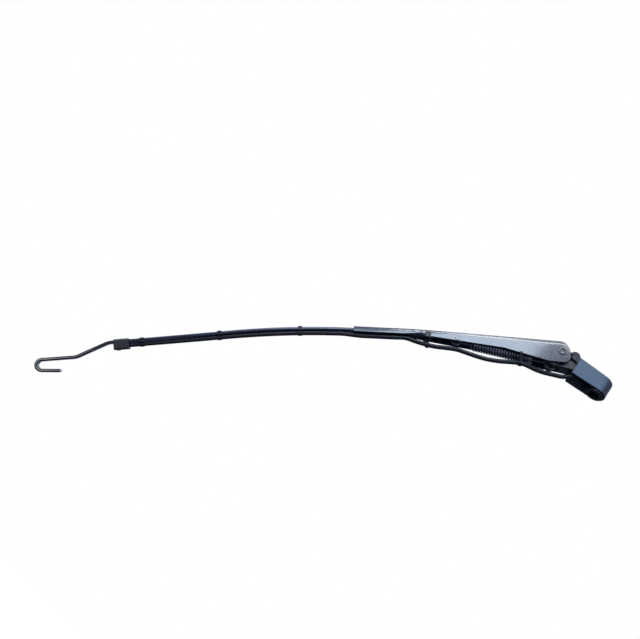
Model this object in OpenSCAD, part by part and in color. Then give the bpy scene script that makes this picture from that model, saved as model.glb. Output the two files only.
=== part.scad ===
// Wiper arm with a sprung hinge, a pressed channel, a J-hook bar and a clipped washer hose.
// The head stands on its spindle axis. The arm is drawn closed on its stop, so it slopes down.
// Arm pieces are drawn in a frame of their own: hinge pin at the origin, +X to the head, +Z outward.

/* [Head] */
// Distance from the spindle axis to the hinge pin axis
hinge_dist = 57; // [53:1:64]
// Height of the hinge pin axis above the underside of the head
hinge_height = 19.5; // [19.5:0.5:22]
// Angle by which the closed arm slopes down from the head
arm_rest_angle = 33; // [28:1:36]
// Diameter of the round boss round the spindle
boss_d = 21; // [18:0.5:21.4]
// Diameter of the spindle bore
spindle_bore_d = 12.2; // [10:0.1:13]
// Depth of the spindle bore
spindle_bore_depth = 12; // [9:0.5:13]
// Diameter of the hole for the threaded end of the spindle
stud_hole_d = 8.5; // [7:0.1:9]
// Diameter of the recess that takes the nut
nut_recess_d = 17; // [15:0.5:17.5]
// Width of the head over its two hinge ears
ear_width = 20; // [18:0.5:20.4]
// Width of the slot between the ears, where the spring hook runs
ear_slot = 7.2; // [6:0.2:8]
// Width of the neck between the ears and the boss
neck_width = 16.4; // [14:0.2:17]

/* [Cover] */
// Outer width of the cover, which is also the diameter of its round end
cover_width = 25.2; // [24.6:0.2:27]
// Wall thickness of the cover
cover_wall = 1.5; // [1.2:0.1:1.8]
// Height of the cover's top above the hinge pin axis, at its open end
cover_rise = 7; // [6.6:0.1:8]
// Drop of the cover's top from its open end to its round end
cover_fall = 3.4; // [2:0.1:3.6]
// Distance from the hinge pin axis to the open edge of the cover
cover_start = 22; // [21.8:0.1:24]
// Diameter of the pin on which the cover flips
cover_pin_d = 4; // [3:0.5:5]
// Radius of the two round lugs of the cover
cover_lug_r = 6; // [5.4:0.1:6.2]

/* [Hinge] */
// Diameter of the hinge pin
hinge_pin_d = 8; // [7:0.5:8]
// Diameter of the low rivet heads of the hinge pin
hinge_head_d = 10; // [9.5:0.5:13]
// Wall of the two hinge bushes
bush_wall = 1; // [0.8:0.1:1.2]
// Thickness of the washers between the ears and the channel
washer_t = 0.8; // [0.6:0.1:0.9]

/* [Channel] */
// Thickness of the pressed sheet
sheet_t = 1.8; // [1.5:0.1:2]
// Outer width of the channel at the hinge
channel_width = 26; // [25.8:0.2:28]
// Outer width of the channel where it meets the neck
channel_front_width = 15; // [14.6:0.2:16]
// Height of the outside of the web above the hinge pin axis
web_height = 15; // [13.3:0.1:16]
// Distance from the hinge pin to the front end of the open channel
channel_len = 158; // [156:1:164]
// Length of the crimped neck in front of the open channel
neck_len = 94; // [88:1:108]

/* [Bar] */
// Width of the flat bar
bar_w = 9; // [8:0.5:10]
// Thickness of the flat bar
bar_t = 4; // [3.5:0.1:4.2]
// Slope of the crimped neck against the channel
neck_slope = 3.5; // [1:0.5:4]
// Angle through which the bar is bowed towards the glass
bow_angle = 8.5; // [6:0.5:14]
// Length of the bowed stretch
bow_len = 150; // [140:5:190]
// Twist of the bar between the neck and the hook
bar_twist = 24; // [0:1:30]
// Distance along the straight end of the bar, up to the nozzle block
tail_len = 127.9; // [95:0.1:135]
// Inner radius of the J-hook
hook_r = 4.3; // [4:0.1:6]
// Straight length of the J-hook's free leg
hook_leg = 21; // [18:1:32]
// Straight length of the long leg behind the J-hook
long_leg = 35; // [30:1:50]
// Angle of the offset in the bar before the hook
offset_angle = 20; // [8:1:22]
// Straight length of the offset
offset_len = 33; // [24:1:40]

/* [Spring] */
// Gap between the first coils of the tension spring and the sides of the channel
spring_play = 0.4; // [0.3:0.1:1.2]
// Wire diameter of the tension spring
spring_wire = 3; // [2.4:0.1:3.2]
// Gap between the spring coils in the closed arm
coil_gap = 0.3; // [0.2:0.05:0.6]
// Distance from the hinge pin to the spring's pin on the head
crank_r = 14; // [13.6:0.1:14.4]
// Diameter of the two spring pins
spring_pin_d = 5; // [4.6:0.1:5.2]
// Wire diameter of the hook between the spring and the head
hook_wire = 3; // [2.6:0.1:3.2]

/* [Hose] */
// Outer diameter of the washer hose
hose_d = 5.5; // [5:0.1:5.6]
// Wall of the thin hose clips on the bar
clip_wall = 0.6; // [0.5:0.1:1]
// Length of each of those clips along the bar
clip_len = 5; // [4:0.5:8]
// Wall of the clip and the holders that carry the hose under the channel
holder_wall = 0.7; // [0.6:0.1:1]

/* [Nozzle] */
// Length of the nozzle block along the bar
nozzle_len = 17.4; // [14:0.2:20]
// Width of the nozzle block
nozzle_w = 14; // [13:0.5:16]
// Height of the nozzle block
nozzle_h = 12.6; // [12.2:0.1:15]
// Diameter of the two jet inserts
jet_d = 3.6; // [3:0.1:4]

/* [Inlet] */
// Outer diameter of the spigot that the supply hose pushes on
spigot_d = 4.4; // [4:0.1:5]
// Length of that spigot
spigot_len = 8.6; // [8.4:0.2:10]

/* [Hidden] */

// Running clearances
fit = 0.05;
gap = 0.1;
soft_gap = 0.3;
washer_d = 15;

// Head: heights are above the hinge pin axis
nut_floor = spindle_bore_depth + 3;
ear_r = 9.5;
ear_end = ear_r + 3;
lobe_r = 7.6;
slot_end = 7.8;
neck_top = 9;
neck_low_top = 2.2;
neck_bottom = -9;
boss_top = neck_low_top - 2;
cover_pin_at = [14.6, 4.6];
rest_play = 0.3;
crank_angle = -135 + arm_rest_angle;
crank_at = crank_r * [cos(crank_angle), sin(crank_angle)];

// Cover
cover_r = cover_width / 2;
cover_rim = 2;
lug_offset = [0.9, 1.7];
lug_at = cover_pin_at + lug_offset;
lug_inner = neck_width / 2 + soft_gap;
lug_outer = ear_width / 2 + 0.7;
lug_tail = 7;
lug_depth = 8;

// Channel: lower edge of its flanges as [distance from hinge, height]
flange_edge = [[5 - channel_len, 5.2], [-70, -1.6], [-17, -14.2], [14, -15]];
corner_r = 2.8;
corner_steps = 4;
neck_start = channel_len + 32;
neck_end = channel_len + neck_len;
fold_h = 5;
round_end_at = [-0.6, -4.5];
round_end_r = 10.2;
web_end = -4;
flange_end = -1;

// Bar: its middle line lies this far below the outside of the sheet
bar_drop = sheet_t + gap + bar_t / 2;
bar_start = channel_len - 22;
bend_at = channel_len + 20;
neck_lip = bar_w / 2 + gap + sheet_t - 1.3;
neck_depth = 2 * sheet_t + bar_t + 2 * gap;
neck_half = bar_w / 2 + gap + sheet_t;
rivet_at = [14 - channel_len, 2 - channel_len];
rivet_d = 4;
rivet_head_d = 7;
rivet_head_h = 1.3;
end_angle = neck_slope + bow_angle;
bow_r = bow_len / (bow_angle * PI / 180);
bow_start = [-neck_end, web_height - bar_drop - (neck_end - bend_at) * tan(neck_slope)];
bow_end = bow_start + bow_r * [sin(neck_slope) - sin(end_angle), cos(end_angle) - cos(neck_slope)];
offset_r = 22;
hook_turn = 175;
nozzle_roof = 1.1;
nozzle_bottom = bar_t / 2 + nozzle_roof - nozzle_h;

// Spring: its axis runs from the pin in the channel to the hook on the head's pin
anchor_at = [32 - channel_len, 6];
coil_from = 17;
spring_od = 2 * (half_width(anchor_at[0] + coil_from) - sheet_t - spring_play);
spring_r = (spring_od - spring_wire) / 2;
spring_pitch = spring_wire + coil_gap;
hook_ring_r = 5 + hook_wire / 2;
hook_centre = [-crank_r * sin(45) - 1, -crank_r * (1 + cos(45)) / 2];
axis_angle = atan2(anchor_at[1] - hook_centre[1], hook_centre[0] - anchor_at[0]);
axis_len = norm(hook_centre - anchor_at);
hook_room = 23;
spring_coils = floor((axis_len - coil_from - hook_room) / spring_pitch);
spring_loop_r = spring_pin_d / 2 + 0.2 + spring_wire / 2;
coil_steps = 14;
wire_sides = 6;

// Hose: distance of its middle line below the bar, on the bar and under the neck
hose_under_bar = bar_t / 2 + hose_d / 2 + fit;
hose_under_neck = neck_depth - bar_drop + hose_d / 2 + gap;
clip_at = [0.27, 0.62, 0.95];
hose_sides = 8;
// The elbow in the head, as a place from the hinge, and the hose that comes to it from the arm
elbow_len = 8;
elbow_at = [hinge_dist - boss_d / 2 - 5 - elbow_len, -14];
elbow_run = 4;
hose_leaves = [0, 0, -27.4];
hose_rise = tan(30);
// Hose route under the channel: share of the channel's length, place across, height in the arm's frame
under_channel = [[1.114, 0, 0.6], [1.038, 0, -2.2], [0.962, -1, -4.6], [0.886, -2, -5.4],
    [0.804, -3, -6.6], [0.741, -3.5, -9.2], [0.677, -3.8, -12.2], [0.62, -4, -14.6], [0.557, -4, -16.4],
    [0.475, -4, -17.2], [0.392, -4, -16.9], [0.316, -4, -16.9], [0.284, -3.7, -17.9],
    [0.253, -3.2, -19.3], [0.19, -1.6, -22.6], [0.127, -0.4, -24.6], [0.063, 0, -26]];
hose_route = concat(
    [for (p = under_channel) [-p[0] * channel_len, p[1], p[2]]], [hose_leaves],
    [for (t = [0.25:0.25:1]) to_arm(eased(to_head(hose_leaves), elbow_at - [elbow_run, 0], t))],
    [to_arm(elbow_at - [soft_gap, 0])]);
holder_on = 11;
ring_len = 4;
neck_clip_at = -channel_len - 3.5;
neck_clip_len = 7;
ring_d = hose_d + 1;

function lower_edge(x, i = 0) =
    i == len(flange_edge) - 2 || x <= flange_edge[i + 1][0]
    ? flange_edge[i][1] + (x - flange_edge[i][0])
      * (flange_edge[i + 1][1] - flange_edge[i][1]) / (flange_edge[i + 1][0] - flange_edge[i][0])
    : lower_edge(x, i + 1);
function half_width(x) =
    channel_width / 2 + (channel_width - channel_front_width) / 2 * min(x, 0) / channel_len;
function web_top(x) = web_height - max(0, -x - bend_at) * tan(neck_slope);
function smooth(t) = t <= 0 ? 0 : t >= 1 ? 1 : t * t * (3 - 2 * t);

// A place in the side plane from the hinge, turned from the head's frame to the arm's, and back
function to_arm(p) =
    let (a = arm_rest_angle) [p[0] * cos(a) + p[1] * sin(a), 0, p[1] * cos(a) - p[0] * sin(a)];
function to_head(p) =
    let (a = arm_rest_angle) [p[0] * cos(a) - p[2] * sin(a), p[0] * sin(a) + p[2] * cos(a)];
// A curve that leaves one place at the hose's slope and comes level to the other
function eased(from, to, t) =
    let (run = to[0] - from[0])
    [from[0] + run * t, from[1] + (to[1] - from[1]) * smooth(t) + hose_rise * run * t * (1 - t) * (1 - t)];

// A place on the bar, t mm along its middle line from the neck's front end, with slope and twist
bar_run = bow_len + tail_len;
function bar_slope(t) = t < 0 ? neck_slope : min(end_angle, neck_slope + bow_angle * t / bow_len);
function bar_turn(t) = bar_twist * smooth(t / (bar_run - 20));
function bar_at(t) =
    t < 0 ? bow_start - t * [cos(neck_slope), sin(neck_slope)]
    : t > bow_len ? bow_end - (t - bow_len) * [cos(end_angle), sin(end_angle)]
    : bow_start + bow_r * [sin(neck_slope) - sin(bar_slope(t)), cos(bar_slope(t)) - cos(neck_slope)];
// A point u mm to the far side and v mm outward of the bar's middle line
function bar_point(t, u, v) =
    let (p = bar_at(t), a = bar_slope(t), w = bar_turn(t),
         side = u * cos(w) - v * sin(w), out = u * sin(w) + v * cos(w))
    [p[0] - out * sin(a), side, p[1] + out * cos(a)];

module in_arm() {
    translate([-hinge_dist, 0, hinge_height]) rotate([0, -arm_rest_angle, 0]) children();
}

// A flat outline in the side plane, drawn as X and Z, made this wide across the arm
module across(width, from = undef) {
    shift = is_undef(from) ? -width / 2 : from;
    translate([0, shift + width, 0]) rotate([90, 0, 0]) linear_extrude(width) children();
}

// A round rod or hole across the arm, at an X and Z place
module cross_rod(at, d, width, from = undef) {
    across(width, from) translate(at) circle(d = d, $fn = 64);
}

// A frame on the bar, t mm from the neck, with +X to the head and +Z out of the bar's flat side
module on_bar(t) {
    translate([bar_at(t)[0], 0, bar_at(t)[1]])
        rotate([0, -bar_slope(t), 0]) rotate([bar_turn(t), 0, 0]) children();
}

// A closed skin over a row of rings that all have the same number of points
module loft(rings) {
    n = len(rings[0]);
    m = len(rings);
    polyhedron(
        points = [for (ring = rings) each ring],
        faces = concat(
            [[for (i = [0:n - 1]) i]],
            [for (j = [0:m - 2]) for (i = [0:n - 1]) each
                [[j * n + i, (j + 1) * n + i, (j + 1) * n + (i + 1) % n],
                 [j * n + i, (j + 1) * n + (i + 1) % n, j * n + (i + 1) % n]]],
            [[for (i = [n - 1:-1:0]) (m - 1) * n + i]]),
        convexity = 8);
}

// Rings of a round tube along a route
function tube_rings(route, r, sides) =
    [for (i = [0:len(route) - 1])
        let (ahead = route[min(i + 1, len(route) - 1)] - route[max(i - 1, 0)],
             t = ahead / norm(ahead),
             side = cross([0, 1, 0], t) / norm(cross([0, 1, 0], t)),
             up = cross(t, side))
        [for (k = [0:sides - 1])
            route[i] + r * (side * cos(360 * k / sides) + up * sin(360 * k / sides))]];

// The die-cast head: boss, neck, two ears with heels that stop the closed arm and reliefs for the lugs
module head_profile() {
    translate([-hinge_dist, hinge_height]) {
        circle(r = ear_r, $fn = 64);
        translate(crank_at) circle(r = lobe_r, $fn = 48);
        rotate(crank_angle) polygon([[0, -ear_r + 0.5], [crank_r, -lobe_r + 0.2],
            [crank_r, lobe_r - 0.2], [0, ear_r - 0.5]]);
        rotate(arm_rest_angle) polygon([[-15, 5], [-15, web_height - sheet_t - rest_play],
            [1, web_height - sheet_t - rest_play], [6, 7], [0, -4]]);
    }
}

module neck_profile() {
    boss_at = hinge_dist;
    translate([-hinge_dist, hinge_height])
        polygon([[1, ear_r - 0.3], [12, neck_top], [20, neck_top], [23, neck_low_top],
            [boss_at - 5, neck_low_top], [boss_at - 5, 4 - hinge_height],
            [boss_at - 10, 4 - hinge_height], [boss_at - 12, neck_bottom], [boss_at - 31, neck_bottom],
            [boss_at - 40, neck_bottom - 3.5], [3, neck_bottom - 10], [-4, neck_bottom]]);
}

module head() color("dimgray") difference() {
    union() {
        cylinder(d = boss_d, h = hinge_height + boss_top, $fn = 96);
        across(neck_width) neck_profile();
        across(ear_width) intersection() {
            head_profile();
            translate([-hinge_dist - 40, hinge_height - 40]) square([40 + ear_end, 80]);
        }
    }
    across(ear_slot) translate([-hinge_dist - 40, hinge_height - 40]) square([40 + slot_end, 80]);
    translate([0, 0, -1]) cylinder(d = spindle_bore_d, h = spindle_bore_depth + 1, $fn = 96);
    cylinder(d = stud_hole_d, h = 60, $fn = 64);
    translate([0, 0, nut_floor]) cylinder(d = nut_recess_d, h = 60, $fn = 64);
    translate([-hinge_dist, 0, hinge_height]) {
        cross_rod([0, 0], hinge_pin_d + 2 * bush_wall, 60);
        cross_rod(crank_at, spring_pin_d, 60);
        cross_rod(cover_pin_at, cover_pin_d, 60);
        for (from = [neck_width / 2, -neck_width / 2 - 10])
            cross_rod(cover_pin_at, 2 * (norm(lug_offset) + cover_lug_r + soft_gap), 10, from);
    }
}

// The moulded cover: round at the spindle end, open below and towards the arm, its top falls slightly
module cover_plan(inset) {
    r = cover_r - inset;
    circle(r = r, $fn = 96);
    translate([cover_start - hinge_dist, -r]) square([hinge_dist - cover_start, 2 * r]);
}

// Its side view, with the top and the rim set in or out
module cover_side(inset, rim) {
    far = hinge_dist + cover_r;
    translate([-hinge_dist, hinge_height])
        polygon([[cover_start - 2, rim - hinge_height], [far + 1, rim - hinge_height],
            [far + 1, cover_rise - cover_fall - inset], [cover_start, cover_rise - inset],
            [cover_start - 2, cover_rise - inset]]);
}

module lug_profile() {
    translate([-hinge_dist, hinge_height]) {
        translate(lug_at) circle(r = cover_lug_r, $fn = 64);
        polygon([lug_at - [0, cover_lug_r], lug_at + cover_lug_r * [cos(20), sin(20)],
            [cover_start + 1, cover_rise - 0.2], [cover_start + lug_tail, cover_rise - 1],
            [cover_start + lug_tail, cover_rise - lug_depth], [cover_start, cover_rise - lug_depth]]);
    }
}

module head_cover() color("slategray") difference() {
    inner_r = cover_r - cover_wall;
    union() {
        difference() {
            intersection() {
                linear_extrude(60) cover_plan(0);
                across(60) cover_side(0, cover_rim);
            }
            intersection() {
                translate([0, 0, -1]) linear_extrude(60) union() {
                    cover_plan(cover_wall);
                    translate([cover_start - hinge_dist - 1, -inner_r]) square([6, 2 * inner_r]);
                }
                across(60) cover_side(cover_wall, 0);
            }
        }
        for (side = [-1, 1]) {
            across(lug_outer - lug_inner, side > 0 ? lug_inner : -lug_outer) lug_profile();
            across(inner_r - lug_inner + 0.2, side > 0 ? lug_inner : -inner_r - 0.2) intersection() {
                lug_profile();
                translate([cover_start - hinge_dist, 0]) square([lug_tail, 60]);
            }
        }
    }
    translate([-hinge_dist, 0, hinge_height]) cross_rod(cover_pin_at, cover_pin_d + 2 * fit, 60);
}

module cover_pin() color("black")
    translate([-hinge_dist, 0, hinge_height]) cross_rod(cover_pin_at, cover_pin_d, 2 * lug_outer);

// The hinge pin is a rivet: a plain shank with a low head on each side of the channel
module hinge_pin() color("silver") in_arm() {
    cross_rod([0, 0], hinge_pin_d, channel_width);
    for (side = [0, 1]) mirror([0, side, 0]) translate([0, channel_width / 2, 0]) rotate([-90, 0, 0])
        rotate_extrude($fn = 64)
            polygon([[0, 0], [hinge_head_d / 2, 0], [hinge_head_d / 2 - 0.4, 0.5], [3.4, 0.7], [2.4, 0.1],
                [0, 0.1]]);
}

module hinge_bush(side) color("goldenrod") translate([-hinge_dist, 0, hinge_height]) {
    length = (ear_width - ear_slot) / 2;
    from = side > 0 ? ear_slot / 2 : -ear_width / 2;
    difference() {
        cross_rod([0, 0], hinge_pin_d + 2 * bush_wall, length, from);
        cross_rod([0, 0], hinge_pin_d + 2 * fit, length + 2, from - 1);
    }
}

module hinge_bush_near() hinge_bush(-1);
module hinge_bush_far() hinge_bush(1);

module hinge_washers() color("silver") translate([-hinge_dist, 0, hinge_height])
    for (side = [-1, 1]) {
        from = side > 0 ? ear_width / 2 + fit : -ear_width / 2 - fit - washer_t;
        difference() {
            cross_rod([0, 0], washer_d, washer_t, from);
            cross_rod([0, 0], hinge_pin_d + 2 * fit, washer_t + 2, from - 1);
        }
    }

// One ring of the pressed sheet: web, rounded corners, flanges, and lips folded in by an angle
function sheet_ring(x, top, half, fold, lip, beta) =
    let (end_out = [half - lip * sin(beta), fold - lip * cos(beta)],
         end_in = end_out + sheet_t * [-cos(beta), sin(beta)],
         fold_in = [half - sheet_t, fold + sheet_t * tan(beta / 2)],
         inner_r = corner_r - sheet_t,
         outer = [for (k = [0:corner_steps - 1]) let (a = 90 - 90 * k / (corner_steps - 1))
             [half - corner_r + corner_r * cos(a), top - corner_r + corner_r * sin(a)]],
         inner = [for (k = [0:corner_steps - 1]) let (a = 90 * k / (corner_steps - 1))
             [half - corner_r + inner_r * cos(a), top - corner_r + inner_r * sin(a)]],
         right = concat(outer, [[half, fold], end_out, end_in, fold_in], inner),
         n = len(right))
    [for (p = right) [x, -p[0], p[1]], for (i = [n - 1:-1:0]) [x, right[i][0], right[i][1]]];

function channel_ring(x) =
    sheet_ring(x, web_top(x), half_width(x), web_top(x) - fold_h, web_top(x) - fold_h - lower_edge(x), 0);
function neck_ring(x) =
    sheet_ring(x, web_top(x), neck_half, web_top(x) - neck_depth, neck_lip, 90);
function blend_ring(x, t) =
    sheet_ring(x, web_top(x), neck_half + (half_width(x) - neck_half) * t,
        web_top(x) - neck_depth + (neck_depth - fold_h) * t, neck_lip + (4.2 - neck_lip) * t, 90 * (1 - t));

// The outline of the hinge end, seen from the side, which is cut away
module hinge_end_cut() {
    difference() {
        translate([web_end - 6, -30]) square([40, 60]);
        translate(round_end_at) circle(r = round_end_r, $fn = 96);
        polygon([[web_end - 7, -30], round_end_at - [0, round_end_r], round_end_at + [round_end_r, 0],
            [9.4, 4.5], [6.6, 10.4], [flange_end, web_height + 0.2], [web_end - 7, web_height + 0.2]]);
    }
    translate([web_end - 7, -30]) square([9, 30 + round_end_at[1] - round_end_r]);
}

module retainer() color("steelblue") in_arm() difference() {
    loft(concat(
        [for (x = [-neck_end, -(neck_end + neck_start) / 2, -neck_start]) neck_ring(x)],
        [for (t = [0.3, 0.65]) blend_ring(-neck_start + t * (neck_start - channel_len), t)],
        [for (t = [1, 0.82, 0.62]) channel_ring(-channel_len * t)],
        [for (x = [-70, -44, -17, 0, 14]) channel_ring(x)]));
    across(60) hinge_end_cut();
    across(channel_width - 2 * sheet_t - 0.4) translate([web_end, ear_r]) square([30, 30]);
    cross_rod([0, 0], hinge_pin_d, 60);
    cross_rod(anchor_at, spring_pin_d, 60);
    for (x = rivet_at) translate([x, 0, 0]) cylinder(d = rivet_d, h = 60, $fn = 48);
}

// The bar's section with its long edges broken, as places across the bar and outward of its middle
edge_break = 0.6;
bar_corners =
    let (w = bar_w / 2, h = bar_t / 2, c = edge_break)
    [[w - c, h], [c - w, h], [-w, h - c], [-w, c - h], [c - w, -h], [w - c, -h], [w, c - h], [w, h - c]];
function bar_ring(t) = [for (p = bar_corners) bar_point(t, p[0], p[1])];
function flat_bar_ring(x) = [for (p = bar_corners) [x, p[0], web_height - bar_drop + p[1]]];

// Points and headings on the middle line of the hook end, drawn flat: straight on, then round a bend
function ahead(from, length) = [from[0] + length * [cos(from[1]), sin(from[1])], from[1]];
function bend_centre(from, r, turn) = from[0] + sign(turn) * r * [-sin(from[1]), cos(from[1])];
function bent(from, r, turn) =
    let (steps = ceil(abs(turn) / bend_step), c = bend_centre(from, r, turn))
    [for (k = [0:steps]) let (a = from[1] + turn * k / steps)
        [c + sign(turn) * r * [sin(a), -cos(a)], a]];
function last(list) = list[len(list) - 1];
function to_left(from, d) = from[0] + d * [-sin(from[1]), cos(from[1])];

bend_step = 6;
hook_mid_r = hook_r + bar_t / 2;
first_bend = bent(ahead([[-1, 0], 0], nozzle_len / 2 + 3.3), offset_r, offset_angle);
second_bend = bent(ahead(last(first_bend), offset_len), offset_r, -offset_angle - 0.5);
hook_bend = bent(ahead(last(second_bend), long_leg), hook_mid_r, hook_turn);
hook_tip = ahead(last(hook_bend), hook_leg);
hook_centre_at = bend_centre(hook_bend[0], hook_mid_r, hook_turn);

// The J is filled first, then its gap is cut with a true round
module hook_outline() difference() {
    polygon(concat(
        [for (p = concat([[[-1, 0], 0]], first_bend, second_bend)) to_left(p, bar_t / 2)],
        [to_left(ahead(hook_bend[0], -hook_leg), bar_t / 2), to_left(hook_tip, bar_t / 2),
            to_left(hook_tip, -bar_t / 2)],
        [for (i = [len(hook_bend) - 1:-1:0]) to_left(hook_bend[i], -bar_t / 2)],
        [for (i = [len(second_bend) - 1:-1:0]) to_left(second_bend[i], -bar_t / 2)],
        [for (i = [len(first_bend) - 1:-1:0]) to_left(first_bend[i], -bar_t / 2)],
        [[-1, -bar_t / 2]]));
    translate(hook_centre_at) circle(r = hook_r, $fn = 96);
    polygon([hook_centre_at, to_left(hook_bend[0], bar_t / 2),
        to_left(ahead(hook_bend[0], -hook_leg - 5), bar_t / 2), to_left(ahead(hook_tip, 5), bar_t / 2),
        to_left(last(hook_bend), bar_t / 2)]);
}

module hook_end() {
    on_bar(bar_run) rotate([0, 180, 0]) rotate([90, 0, 0]) linear_extrude(bar_w, center = true)
        hook_outline();
}

module arm_bar() color("black") in_arm() difference() {
    union() {
        loft(concat(
            [for (t = [bar_run, bar_run - 15, bar_run - 35]) bar_ring(t)],
            [for (t = [bar_run - 55:-20:5]) bar_ring(t)],
            [for (t = [0, -40]) bar_ring(t)],
            [for (x = [-bend_at + 3, -bar_start]) flat_bar_ring(x)]));
        hook_end();
    }
    for (x = rivet_at) translate([x, 0, 0]) cylinder(d = rivet_d, h = 60, center = true, $fn = 48);
}

module bar_rivets() color("silver") in_arm() for (x = rivet_at) translate([x, 0, 0]) {
    foot = web_height - bar_drop - bar_t / 2;
    translate([0, 0, foot]) cylinder(d = rivet_d, h = web_height - foot, $fn = 48);
    translate([0, 0, web_height]) rotate_extrude($fn = 48) intersection() {
        translate([0, rivet_head_h - 5.4]) circle(r = 5.4, $fn = 96);
        square([rivet_head_d / 2, rivet_head_h]);
    }
    translate([0, 0, foot - 0.8]) cylinder(d = rivet_head_d - 1, h = 0.8, $fn = 48);
}

// The tension spring: close coils, a loop round the pin in the channel, coned coils at the hook
function coil_r(turn) =
    turn > spring_coils - 1.5 ? spring_r - 1.6 * (turn - spring_coils + 1.5) / 1.5
    : turn < 1 ? spring_r * (0.28 + 0.72 * turn) : spring_r;
function coil_ring(i) =
    let (turn = i / coil_steps, a = 360 * turn, r = coil_r(turn), x = coil_from + turn * spring_pitch)
    [for (k = [0:wire_sides - 1]) let (b = 360 * k / wire_sides, q = r + spring_wire / 2 * cos(b))
        [x - spring_wire / 2 * sin(b), q * cos(a), q * sin(a)]];

module along_spring() {
    in_arm() translate([anchor_at[0], 0, anchor_at[1]]) rotate([0, axis_angle, 0]) children();
}

module spring() color("black") along_spring() {
    loft([for (i = [0:spring_coils * coil_steps]) coil_ring(i)]);
    rotate([90, 0, 0]) rotate([0, 0, 30]) rotate_extrude(angle = 330, $fn = 48)
        translate([spring_loop_r, 0]) circle(d = spring_wire, $fn = 24);
    translate([spring_loop_r, 0, 0]) rotate([0, 90, 0])
        cylinder(d = spring_wire, h = coil_from - spring_loop_r + 1.5, $fn = 24);
}

// The wire hook: an open ring round the head's pin, a shank, and a button held in the coned coils
module spring_hook() color("dimgray") in_arm() {
    coil_end = axis_len - coil_from - spring_coils * spring_pitch;
    translate([hook_centre[0], 0, hook_centre[1]]) {
        rotate([90, 0, 0]) rotate([0, 0, 180 - axis_angle]) rotate_extrude(angle = 225, $fn = 64)
            translate([hook_ring_r, 0]) circle(d = hook_wire, $fn = 24);
        rotate([0, axis_angle - 180, 0]) {
            translate([hook_ring_r, 0, 0]) rotate([0, 90, 0])
                cylinder(d = hook_wire, h = coil_end + 4 - hook_ring_r, $fn = 24);
            translate([coil_end + 4, 0, 0]) rotate([0, 90, 0]) cylinder(d = 6.4, h = 2.5, $fn = 32);
        }
    }
}

module spring_pin_head() color("silver")
    translate([-hinge_dist, 0, hinge_height]) cross_rod(crank_at, spring_pin_d, ear_width);

module spring_pin_arm() color("silver") in_arm()
    cross_rod(anchor_at, spring_pin_d, 2 * half_width(anchor_at[0]) + 1);

// The hose follows the underside of the bar and the neck, then its own route into the head
function neck_hose(x) = [x, 0, web_top(x) - bar_drop - hose_under_neck];
hose_start = bar_run - nozzle_len / 2 + 4;
hose_path = concat(
    [for (t = [hose_start:-13:8]) bar_point(t, 0, -hose_under_bar)],
    [for (t = [0, -10, -22]) bar_point(t, 0, -hose_under_bar
        - (hose_under_neck - hose_under_bar) * smooth((8 - t) / 14))],
    [for (t = [0:0.5:1]) neck_hose((1 - t) * (36 - neck_end) + t * (2 - neck_start))],
    hose_route);

module washer_hose() color("dimgray") in_arm() loft(tube_rings(hose_path, hose_d / 2, hose_sides));

// A clip: one band round the bar and the hose below it
module hose_clip_outline(grow) {
    w = bar_w / 2 + grow;
    h = bar_t / 2 + grow;
    translate([-w, -h]) square([2 * w, 2 * h]);
    translate([0, -hose_under_bar]) circle(d = hose_d + 2 * grow, $fn = 48);
}

module along_x(length) {
    translate([-length / 2, 0, 0]) rotate([90, 0, 90]) linear_extrude(length) children();
}

module hose_clips() color("black") in_arm() for (share = clip_at)
    on_bar(bow_len * share + tail_len * share - 10) along_x(clip_len) difference() {
        hose_clip_outline(clip_wall);
        hose_clip_outline(gap);
    }

// The clip at the mouth of the channel: a U round its sides, with the hose's ring below
module neck_clip() color("black") in_arm() {
    half = half_width(-channel_len) + gap;
    floor_z = lower_edge(-channel_len) - 0.6;
    before = hose_route[1];
    after = hose_route[2];
    ring = before + (after - before) * (neck_clip_at - before[0]) / (after[0] - before[0]);
    translate([neck_clip_at, 0, 0]) {
        along_x(neck_clip_len) difference() {
            translate([-half - holder_wall, floor_z - holder_wall])
                square([2 * (half + holder_wall), web_height - 3.4 - floor_z + holder_wall]);
            translate([-half, floor_z]) square([2 * half, web_height]);
        }
        along_x(ring_len) difference() {
            union() {
                translate([ring[1] - 1.5, ring[2]]) square([3, floor_z - ring[2] - holder_wall / 2]);
                translate([ring[1], ring[2]]) circle(d = ring_d + 2 * holder_wall, $fn = 48);
            }
            translate([ring[1], ring[2]]) circle(d = ring_d, $fn = 48);
        }
    }
}

// The holder grips the lower edge of the near flange and carries the hose in a ring
module hose_holder() color("black") in_arm() {
    at = hose_route[holder_on];
    edge = [-half_width(at[0]) + sheet_t / 2, lower_edge(at[0])];
    step = abs(lower_edge(at[0] + ring_len / 2) - lower_edge(at[0] - ring_len / 2)) / 2 + gap;
    half = sheet_t / 2 + 2 * gap;
    lip = half + 0.8;
    ring_r = ring_d / 2 + holder_wall;
    arm_angle = atan2(edge[1] - at[2], edge[0] - at[1]);
    translate([at[0], 0, 0]) along_x(ring_len) difference() {
        polygon(concat([edge + [-lip, 1.2], edge + [-lip, -step - 1.2]],
            [for (a = [50:10:310]) [at[1], at[2]] + ring_r * [cos(arm_angle + a), sin(arm_angle + a)]],
            [edge + [lip, -step - 1.2], edge + [lip, 1.2]]));
        translate(edge + [-half, -step]) square([2 * half, 10]);
        translate([at[1], at[2]]) circle(d = ring_d, $fn = 48);
    }
}

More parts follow.
